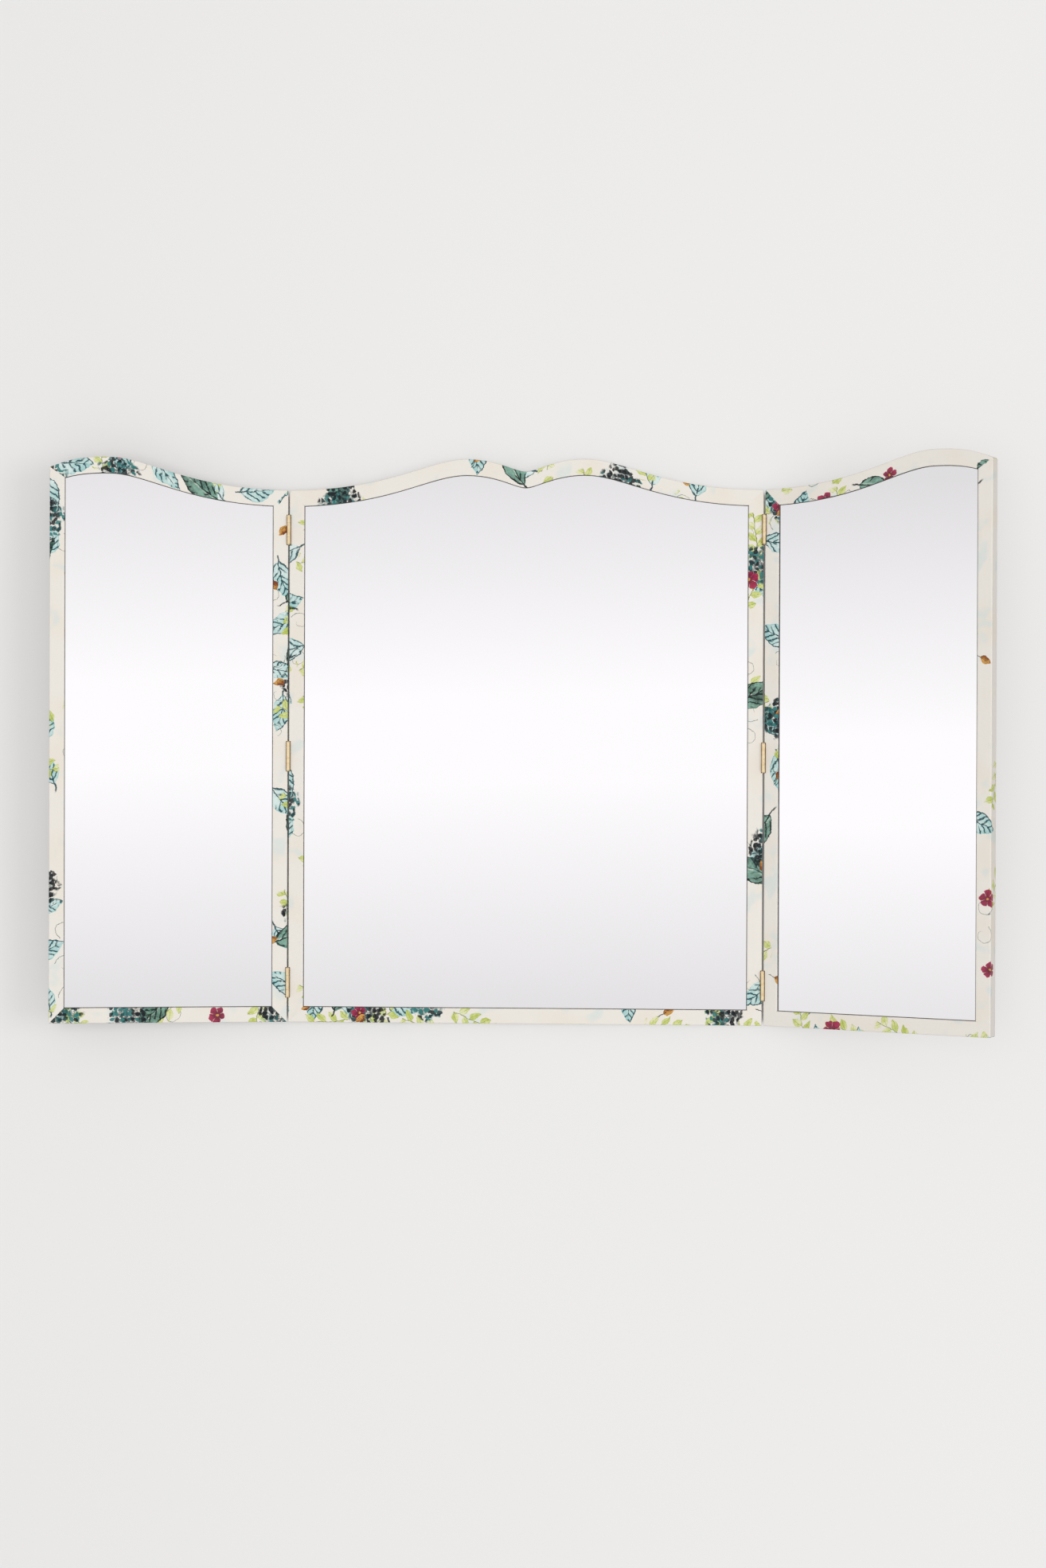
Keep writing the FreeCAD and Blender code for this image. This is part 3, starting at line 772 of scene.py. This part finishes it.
def outlines():
    """The outline of each panel, with the wings opened flat beside the centre."""

    def valley(edge):
        crest = edge + VALLEY_LENGTH
        guides = [(edge + VALLEY_REACH, SIDE_TOP), (crest - CREST_REACH, CREST_TOP)]
        return [(edge, SIDE_TOP)] + guides + [(crest, CREST_TOP)]

    left = -CENTRE_WIDTH / 2
    crest = left + VALLEY_LENGTH
    dip = CREST_TOP - DIP_DROP
    shoulder = [(crest, CREST_TOP), (crest + SHOULDER_REACH, CREST_TOP), (-DIP_REACH, dip), (0.0, dip)]
    half = [valley(left), shoulder]
    edge = AXIS_X + PANEL_GAP / 2
    crest = edge + VALLEY_LENGTH
    outer = edge + WING_WIDTH
    corner = CREST_TOP - CORNER_DROP
    guide = (outer - CORNER_REACH, corner + CORNER_SLOPE * CORNER_REACH)
    end = [(crest, CREST_TOP), (crest + SHOULDER_REACH, CREST_TOP), guide, (outer, corner)]
    wing = [valley(edge), end]
    return {
        "centre": Outline(half + [flipped(stretch) for stretch in reversed(half)]),
        "right_wing": Outline(wing),
        "left_wing": Outline([flipped(stretch) for stretch in reversed(wing)]),
    }


def spread(low, high, pitch):
    """Even places from low to high, about a pitch apart."""
    count = max(1, round(abs(high - low) / pitch))
    return [low + (high - low) * i / count for i in range(count + 1)]


# A place on the cloth's section, the direction out of the cloth there, and the run up to it
SectionPoint = namedtuple("SectionPoint", "inset depth out_inset out_depth run")


def cloth_section(face):
    """The cloth's way round a member, from the opening's rim over the front and the outer side to the
    back lip."""
    radius = EDGE_RADIUS
    points = []

    def straight(places, direction):
        points.extend((inset, depth, *direction) for inset, depth in places)

    def arc(inset, depth, start):
        for i in range(1, EDGE_STEPS):
            angle = math.radians(start - 90 * i / EDGE_STEPS)
            cosine, sine = math.cos(angle), math.sin(angle)
            points.append((inset + radius * cosine, depth + radius * sine, cosine, sine))

    rim = spread(RIM_DEPTH - DEPTH, radius - DEPTH, RIM_PITCH)
    straight([(face, depth) for depth in rim], (1, 0))
    arc(face - radius, radius - DEPTH, 0)
    front = spread(face - radius, NOTCH_FRONT, FRONT_PITCH) + [radius]
    straight([(inset, -DEPTH) for inset in front], (0, -1))
    arc(radius, radius - DEPTH, -90)
    side = [radius - DEPTH] + spread(NOTCH_BACK, MORTISE_BACK, SIDE_PITCH)
    side += spread(MORTISE_BACK, -radius, SIDE_BACK_PITCH)[1:]
    straight([(0.0, depth) for depth in side], (-1, 0))
    arc(radius, -radius, -180)
    lip = spread(radius, BACK_LIP, LIP_PITCH)
    straight([(inset, 0.0) for inset in lip], (0, 1))
    runs = [0.0]
    for last, this in zip(points, points[1:]):
        runs.append(runs[-1] + math.hypot(this[0] - last[0], this[1] - last[1]))
    return [SectionPoint(*point, run) for point, run in zip(points, runs)]


def stations(first, last, pitch, exact):
    """Places along a member, about a pitch apart, with the exact ones among them."""
    clear = pitch / 3
    even = spread(first, last, pitch)
    free = [place for place in even if all(abs(place - mark) > clear for mark in exact)]
    return sorted(free + list(exact))


def along_member(low, high, inner):
    """All places along one line of a member, from one mitre to the other."""
    near = [MITRE_BAND + (CORNER_RADIUS - MITRE_BAND) * i / CORNER_STEPS for i in range(CORNER_STEPS + 1)]
    near = [0.0, MITRE_BAND / 2] + near
    shares = [i / END_STEPS for i in range(1, END_STEPS)]
    first, last = low + near[-1], high - near[-1]
    start = [low + step for step in near] + [first + (inner[0] - first) * share for share in shares]
    end = [inner[-1] + (last - inner[-1]) * share for share in shares]
    return start + inner + end + [high - step for step in reversed(near)]


class Member:
    """One cloth-covered rail or stile of a flat panel."""

    def __init__(self, face, pitch, ends, place, upright, way, exact=()):
        self.section = cloth_section(face)
        self.ends = ends
        self.place = place
        self.upright = upright
        self.way = way
        self.exact = exact
        lows, highs = zip(*[ends(point.inset) for point in self.section])
        self.inner = stations(max(lows) + END_CLEAR, min(highs) - END_CLEAR, pitch, exact)
        self.length = max(highs) - min(lows)


def hinge_lines():
    """The heights at which the cloth's hinge openings begin and end."""
    steps = (-MORTISE_HALF, MORTISE_HALF, -NOTCH_HALF, NOTCH_HALF)
    return [height + step for height in HINGE_HEIGHTS for step in steps]


def in_hinge(inset, depth, z):
    """Whether a place on a hinge stile lies in an opening of its cloth."""
    off = min(abs(z - height) for height in HINGE_HEIGHTS)
    if inset > NOTCH_FRONT or off > NOTCH_HALF:
        return False
    return depth < (MORTISE_BACK if off < MORTISE_HALF else NOTCH_BACK)


def members(panel, outline):
    """The four members of one panel."""
    left, right = outline.left, outline.right
    hinged = {"centre": ("left", "right"), "left_wing": ("right",), "right_wing": ("left",)}[panel]
    made = {}
    for side, edge, inward in (("left", left, 1), ("right", right, -1)):
        exact = hinge_lines() if side in hinged else ()

        def ends(inset, edge=edge, inward=inward):
            return FLOOR + inset * BOTTOM_FACE / STILE_FACE, outline.mitre_height(edge, inward, inset)

        def place(inset, along, edge=edge, inward=inward):
            return edge + inward * inset, along

        way = -inward
        made[side] = Member(STILE_FACE, STRAIGHT_PITCH, ends, place, upright=True, way=way, exact=exact)

    def bottom_ends(inset):
        step = inset * STILE_FACE / BOTTOM_FACE
        return left + step, right - step

    def top_ends(inset):
        return outline.mitre_place(left, 1, inset), outline.mitre_place(right, -1, inset)

    def bottom_place(inset, along):
        return along, FLOOR + inset

    def top_place(inset, along):
        return along, outline.top_at(along) - inset

    made["bottom"] = Member(BOTTOM_FACE, STRAIGHT_PITCH, bottom_ends, bottom_place, upright=False, way=-1)
    made["top"] = Member(TOP_FACE, CURVED_PITCH, top_ends, top_place, upright=False, way=1)
    return made


def eased(outline, x, z):
    """A place on a panel, with its sharp outer corners rounded off: lines that run parallel to the edges
    become arcs there."""
    side = min(x - outline.left, outline.right - x)
    inward = 1 if x - outline.left < outline.right - x else -1
    for height, up in ((FLOOR, 1), (outline.top_at(x), -1)):
        across, along = CORNER_RADIUS - side, CORNER_RADIUS - (z - height) * up
        if across > 0 and along > 0:
            pull = 1 - max(across, along) / math.hypot(across, along)
            return x + inward * across * pull, z + up * along * pull
    return x, z


def swung(panel, x, y, z):
    """A place on an opened panel, turned about its hinge line to where it rests."""
    if panel == "centre":
        return Vector((x, y, z)) * MM
    axis = Vector((math.copysign(AXIS_X, x), AXIS_Y, 0.0))
    turn = Matrix.Rotation(math.radians(SWING[panel]), 3, "Z")
    return (axis + turn @ (Vector((x, y, z)) - axis)) * MM


def relief(panel, key, inset, depth, along, to_end):
    """How far the cloth stands off its plain shape: sunk at a mitre, a little uneven elsewhere."""
    sunk = MITRE_SINK * max(0.0, 1 - to_end / MITRE_BAND)
    seed = len(panel) * UNEVEN_PANEL + len(key) * UNEVEN_MEMBER
    place = Vector((along / UNEVEN_ALONG, inset / UNEVEN_ACROSS + depth / UNEVEN_ACROSS, seed))
    off = UNEVEN * noise.noise(place) - sunk
    if panel == "centre" and key == "top":
        fan = math.atan2(along, inset + WRINKLE_CENTRE)
        fade = math.exp(-((along / WRINKLE_REACH) ** 2)) * math.exp(-inset / WRINKLE_FADE)
        off += WRINKLE * fade * math.cos(fan * WRINKLE_COUNT)
    return off


def cloth_grid(panel, outline, key, member, shift):
    """The places of one strip's outer and inner skin, row by row round the section, and the same
    places on the flat cloth."""
    skins = ([], [])
    flat = []
    for inset, depth, out_inset, out_depth, run in member.section:
        low, high = member.ends(inset)
        for along in along_member(low, high, member.inner):
            off = relief(panel, key, inset, depth, along, min(along - low, high - along))
            for skin, step in zip(skins, (off, off - CLOTH_THICKNESS)):
                x, z = eased(outline, *member.place(inset + out_inset * step, along))
                skin.append(swung(panel, x, depth + out_depth * step, z))
            across = run * member.way
            u, v = (across, along) if member.upright else (along, across)
            flat.append((u + shift[0], v + shift[1]))
    return skins, flat


def cloth_faces(member, across, skin):
    """The outer faces of one strip, with the hinge openings left out."""
    faces = []
    for i, (one, two) in enumerate(zip(member.section, member.section[1:])):
        inset, depth = (one.inset + two.inset) / 2, (one.depth + two.depth) / 2
        places = along_member(*member.ends(inset), member.inner)
        for j, (low, high) in enumerate(zip(places, places[1:])):
            if member.exact and in_hinge(inset, depth, (low + high) / 2):
                continue
            corner = i * across + j
            faces.append((corner, corner + 1, corner + across + 1, corner + across))
    middle = next(i for i, point in enumerate(member.section) if point.out_depth == -1)
    corner = middle * across
    one = skin[corner + 1] - skin[corner]
    two = skin[corner + across] - skin[corner]
    if one.cross(two).y > 0:
        faces = [face[::-1] for face in faces]
    return faces


def cloth_strip(panel, outline, key, name, member, shift):
    """The cloth on one member, as a thin closed shell."""
    (outer, inner), flat = cloth_grid(panel, outline, key, member, shift)
    count = len(outer)
    across = count // len(member.section)
    faces = cloth_faces(member, across, outer)
    sides = {(a, b) for face in faces for a, b in zip(face, face[1:] + face[:1])}
    open_sides = sorted(side for side in sides if side[::-1] not in sides)
    shell = faces + [tuple(corner + count for corner in face[::-1]) for face in faces]
    shell += [(b, a, a + count, b + count) for a, b in open_sides]
    mesh = bpy.data.meshes.new(name)
    mesh.from_pydata(outer + inner, [], shell)
    layer = mesh.uv_layers.new(name="cloth")
    for loop in mesh.loops:
        u, v = flat[loop.vertex_index % count]
        layer.data[loop.index].uv = (u * MM, v * MM)
    mesh.shade_smooth()
    sharp = {tuple(sorted((a + skin, b + skin))) for a, b in open_sides for skin in (0, count)}
    for edge in mesh.edges:
        edge.use_edge_sharp = tuple(sorted(edge.vertices)) in sharp
    mesh.materials.append(CLOTH)
    loose = bmesh.new()
    loose.from_mesh(mesh)
    bmesh.ops.delete(loose, geom=[v for v in loose.verts if not v.link_faces], context="VERTS")
    loose.to_mesh(mesh)
    loose.free()
    strip = bpy.data.objects.new(name, mesh)
    bpy.context.scene.collection.objects.link(strip)
    return strip


def flat_area(member):
    """The area of a strip's flat cut, in square metres."""
    total = 0.0
    for one, two in zip(member.section, member.section[1:]):
        low, high = member.ends((one.inset + two.inset) / 2)
        total += (two.run - one.run) * (high - low)
    return total * MM * MM


# Names of the stiles, and the random place in the print from which each strip is cut
MEMBER_NAMES = {
    "centre": {"left": "left_stile", "right": "right_stile"},
    "left_wing": {"left": "outer_stile", "right": "hinge_stile"},
    "right_wing": {"left": "hinge_stile", "right": "outer_stile"},
}
PRINT_SEED = 2
PRINT_SPREAD = 900
draw = random.Random(PRINT_SEED)
for panel, outline in outlines().items():
    names = {**MEMBER_NAMES[panel], "top": "top_rail", "bottom": "bottom_rail"}
    for key, member in members(panel, outline).items():
        shift = (draw.uniform(0, PRINT_SPREAD), draw.uniform(0, PRINT_SPREAD))
        core = panel + "_" + names[key]
        strip = cloth_strip(panel, outline, key, core + "_cloth", member, shift)
        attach(strip, panel)
        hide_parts(panel + "_printed_cover")
        size = (member.section[-1].run * MM, member.length * MM)
        flat_area(member)


# Wall and floor, in metres. They show to the camera, in mirrors and through glass, from their front only
WALL_Y = 0.0019
WALL_HALF_WIDTH = 9.0
WALL_FADE = (4.0, 8.0)
GROUND_Z = -1.75
GROUND_RADIUS = 5.5
GROUND_FADE = (2.0, GROUND_RADIUS)
MOTTLE_SCALE = 1.3
MOTTLE_SHADE = 0.985
STAGE_NEAREST = 0.03

# The even share of their brightness, and what the centre panel covers of the wall, with soft edges
FLOOR_GLOW = 0.36
WALL_GLOW = (0.22, 0.72)
WALL_GLOW_REACH = 0.6
COVERED_SIDE = (0.3095, 0.3145)
COVERED_MIDDLE = -0.2178
COVERED_HEIGHT = (0.335, 0.342)


def shown_rays(g, nearest):
    """1 for what the camera sees, directly or in metal and glass. What lies nearer to a reflecting surface
    than a given distance doesn't show in it."""
    path = g.node("LightPath")
    rays = [g.out(path, name) for name in ("Is Camera Ray", "Is Glossy Ray", "Is Transmission Ray")]
    mirrored = rays[1] * g.math("GREATER_THAN", g.out(path, "Ray Length"), nearest)
    return g.math("MAXIMUM", g.math("MAXIMUM", rays[0], mirrored), rays[2])


def wall_glow(g, place):
    """The share of the wall's brightness that is even: none behind the centre panel, less on the left,
    where the object's shadow falls, and more on the right."""
    x, z, _ = g.split(place)
    beside = g.step(abs(x), *COVERED_SIDE)
    beyond = g.step(abs(z - COVERED_MIDDLE), *COVERED_HEIGHT)
    return g.fit(x, -WALL_GLOW_REACH, WALL_GLOW_REACH, *WALL_GLOW) * g.math("MAXIMUM", beside, beyond)


def stage_material(name, colour, fade, on_wall):
    """Smooth pale paint that fades out far from the object and has no back. A share of its brightness is
    even."""
    material, g = new_material(name)
    place = g.out(g.node("TexCoord"), "Object")
    far = g.length(*g.split(place)[:2])
    mottle = g.noise(place, MOTTLE_SCALE, detail=2.0)
    tint = g.mix(mottle, colour, tuple(part * MOTTLE_SHADE for part in colour))
    even_share = wall_glow(g, place) if on_wall else FLOOR_GLOW
    paint = g.node("BsdfDiffuse", {"Color": tint})
    glow = g.node("Emission", {"Color": tint, "Strength": 1.0})
    geometry = g.node("NewGeometry")
    shown = shown_rays(g, STAGE_NEAREST) * (1.0 - g.out(geometry, "Backfacing"))
    shown = shown * g.step(far, *reversed(fade))
    clear = g.node("BsdfTransparent")
    even = g.shader_mix(even_share, paint, glow)
    g.finish(g.shader_mix(shown, clear, even), "OutputMaterial")
    return material


def stage_sheet(name, half_width, half_height, material, matrix):
    mesh = bpy.data.meshes.new(name)
    corners = [(-half_width, -half_height, 0), (half_width, -half_height, 0)]
    corners += [(half_width, half_height, 0), (-half_width, half_height, 0)]
    mesh.from_pydata(corners, [], [(0, 1, 2, 3)])
    mesh.materials.append(material)
    made = bpy.data.objects.new(name, mesh)
    made.matrix_world = matrix
    bpy.context.scene.collection.objects.link(made)


WALL_COLOUR = srgb(239, 238, 237)
wall_paint = stage_material("wall_paint", WALL_COLOUR, WALL_FADE, on_wall=True)
floor_paint = stage_material("floor_paint", WALL_COLOUR, GROUND_FADE, on_wall=False)
upright = Matrix.Translation((0, WALL_Y, 0)) @ Matrix.Rotation(math.radians(90), 4, "X")
stage_sheet("wall", WALL_HALF_WIDTH, WALL_HALF_WIDTH, wall_paint, upright)
stage_sheet("floor", GROUND_RADIUS, GROUND_RADIUS, floor_paint, Matrix.Translation((0, 0, GROUND_Z)))

# Light: a pale surround, dim behind the wall, two large soft lamps in front and two behind
SURROUND = 0.6
SURROUND_BACK = 0.12
SEEN_SURROUND = srgb(235, 235, 235)
BAND_TOP = 1.045
BAND_FALL = 2.74
BAND_LOW = 0.745
BAND_FAR = 0.95
BAND_HEIGHT = 0.0115
BAND_TILT = 0.0217
BAND_SIDE = 0.4
BAND_AWAY = (0.12, 0.5)
FRONT_EDGE = (0.1, -0.45)
REAR_EDGE = (0.3, 0.9)
BACK_EDGE = (-0.05, 0.2)
LAMP_TARGET = (0.0, 0.0, -0.2)
DIRECT_DEPTH = 1.5


def surround():
    """The light from all round. Mirrors and metal see a bright band at eye level, dimmer just above and
    below it and at the sides."""
    world = bpy.data.worlds.new("surround")
    bpy.context.scene.world = world
    g = Graph(world)
    x, y, z = g.split(g.out(g.node("TexCoord"), "Generated"))
    off = abs(z - (x * BAND_TILT + BAND_HEIGHT))
    band = g.math("MAXIMUM", g.math("MINIMUM", BAND_TOP - off * BAND_FALL, 1.0), BAND_LOW)
    band = g.math("MAXIMUM", band, g.between(g.step(off, *BAND_AWAY), BAND_LOW, BAND_FAR))
    front = g.between(g.step(y, *FRONT_EDGE), BAND_SIDE, 1.0)
    band = band * g.math("MAXIMUM", front, g.step(y, *REAR_EDGE))
    mirrored = g.join(band, band, band)
    seen = g.mix(g.out(g.node("LightPath"), "Is Camera Ray"), mirrored, SEEN_SURROUND)
    level = g.between(g.step(y, *BACK_EDGE), SURROUND, SURROUND_BACK)
    light = g.node("Background", {"Color": (1.0, 1.0, 1.0, 1.0), "Strength": level})
    shown = g.node("Background", {"Color": seen, "Strength": 1.0})
    g.finish(g.shader_mix(shown_rays(g, 0.0), light, shown), "OutputWorld")


def soft_lamp(name, place, size, power, bounces=True):
    """A large lamp that faces the object. One that doesn't bounce lights only what is seen directly, so
    that nothing from behind reaches the hinge gaps."""
    lamp = bpy.data.lights.new(name, "AREA")
    if not bounces:
        g = Graph(lamp)
        depth = g.out(g.node("LightPath"), "Ray Depth")
        direct = g.math("LESS_THAN", depth, DIRECT_DEPTH)
        g.finish(g.node("Emission", {"Strength": direct}), "OutputLight")
    lamp.shape = "DISK"
    lamp.size = size
    lamp.energy = power
    made = bpy.data.objects.new(name, lamp)
    made.location = place
    towards = Vector(LAMP_TARGET) - Vector(place)
    made.rotation_euler = towards.to_track_quat("-Z", "Y").to_euler()
    made.visible_glossy = False
    made.visible_camera = False
    bpy.context.scene.collection.objects.link(made)


surround()
soft_lamp("front_lamp", place=(-0.6, -5.2, -0.2), size=2.5, power=70.0)
soft_lamp("key_lamp", place=(5.0, -5.0, -0.1), size=3.3, power=98.0)
soft_lamp("back_lamp_left", place=(-0.9, 4.6, 0.3), size=1.6, power=80.0, bounces=False)
soft_lamp("back_lamp_right", place=(0.9, 4.6, 0.3), size=1.6, power=80.0, bounces=False)

# Camera: where the photograph was taken from
CAMERA_PLACE = (0.1749, -3.501, -0.2310)
CAMERA_YAW = 2.91
CAMERA_PITCH = -0.35
CAMERA_ROLL = 0.204
CAMERA_SENSOR = 36.0
CAMERA_LENS = 62.45
lens = bpy.data.cameras.new("camera")
lens.sensor_fit = "VERTICAL"
lens.sensor_width = CAMERA_SENSOR
lens.sensor_height = CAMERA_SENSOR
lens.lens = CAMERA_LENS
camera = bpy.data.objects.new("camera", lens)
turn = Matrix.Rotation(math.radians(CAMERA_YAW), 4, "Z")
turn = turn @ Matrix.Rotation(math.radians(90 + CAMERA_PITCH), 4, "X")
turn = turn @ Matrix.Rotation(math.radians(CAMERA_ROLL), 4, "Z")
camera.matrix_world = Matrix.Translation(CAMERA_PLACE) @ turn
bpy.context.scene.collection.objects.link(camera)
bpy.context.scene.camera = camera
bpy.context.scene.view_settings.view_transform = "Standard"
